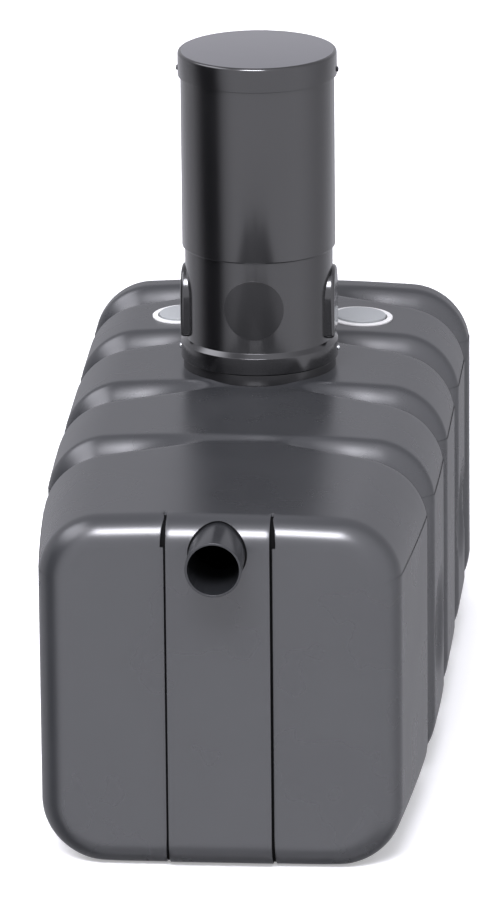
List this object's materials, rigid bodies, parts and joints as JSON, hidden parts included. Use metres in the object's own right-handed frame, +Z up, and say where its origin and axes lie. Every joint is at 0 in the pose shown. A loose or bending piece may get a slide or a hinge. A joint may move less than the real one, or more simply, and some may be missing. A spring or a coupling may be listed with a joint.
{
  "type": "fresh water tank",
  "caption": "Ribbed polyethylene water tank with a telescopic inspection shaft, lift-off lid, inlet stub and two plugged ports.",
  "frame": {"origin": "centre of the underside of the whole object's bounding box", "axes": "+Y from the inlet end to the back, along the tank's length; +Z up along the shaft; +X to the right seen from the inlet end"},
  "size_m": [0.79, 1.849, 1.3881],
  "materials": {
    "tank": "satin moulded polyethylene",
    "shaft": "smooth satin polyethylene",
    "pipe": "smooth",
    "seal": "matt",
    "port_white": "smooth",
    "port_grey": "smooth",
    "bright_screw": "bright",
    "dark_screw": "blackened"
  },
  "bodies": {
    "tank": {"tank_shell": "tank", "inlet_pipe": "pipe", "inlet_seal": "seal", "neck_seal": "seal", "shaft_neck": "shaft", "telescope_seal": "seal", "neck_screw_left": "bright_screw", "neck_screw_right": "bright_screw", "port_ring_left": "port_white", "port_ring_right": "port_white", "port_nut_left": "port_white", "port_nut_right": "port_white"},
    "upper_shaft": {"shaft_tube": "shaft", "lid_seal": "seal"},
    "lid": {"shaft_lid": "shaft", "lid_screw_left": "dark_screw", "lid_screw_right": "dark_screw"},
    "plug_left": {"port_plug_left": "port_grey", "port_plug_seal_left": "seal"},
    "plug_right": {"port_plug_right": "port_grey", "port_plug_seal_right": "seal"}
  },
  "joints": [
    {"name": "shaft_telescope", "type": "slide", "parent": "tank", "child": "upper_shaft", "axis": [0, 0, 1], "range_m": [-0.04, 0.12]},
    {"name": "lid_lift", "type": "slide", "parent": "upper_shaft", "child": "lid", "axis": [0, 0, 1], "range_m": [0, 0.09]},
    {"name": "plug_pull_left", "type": "slide", "parent": "tank", "child": "plug_left", "axis": [-0.0381, 0, 0.9993], "range_m": [0, 0.06]},
    {"name": "plug_pull_right", "type": "slide", "parent": "tank", "child": "plug_right", "axis": [0.0381, 0, 0.9993], "range_m": [0, 0.06]}
  ]
}
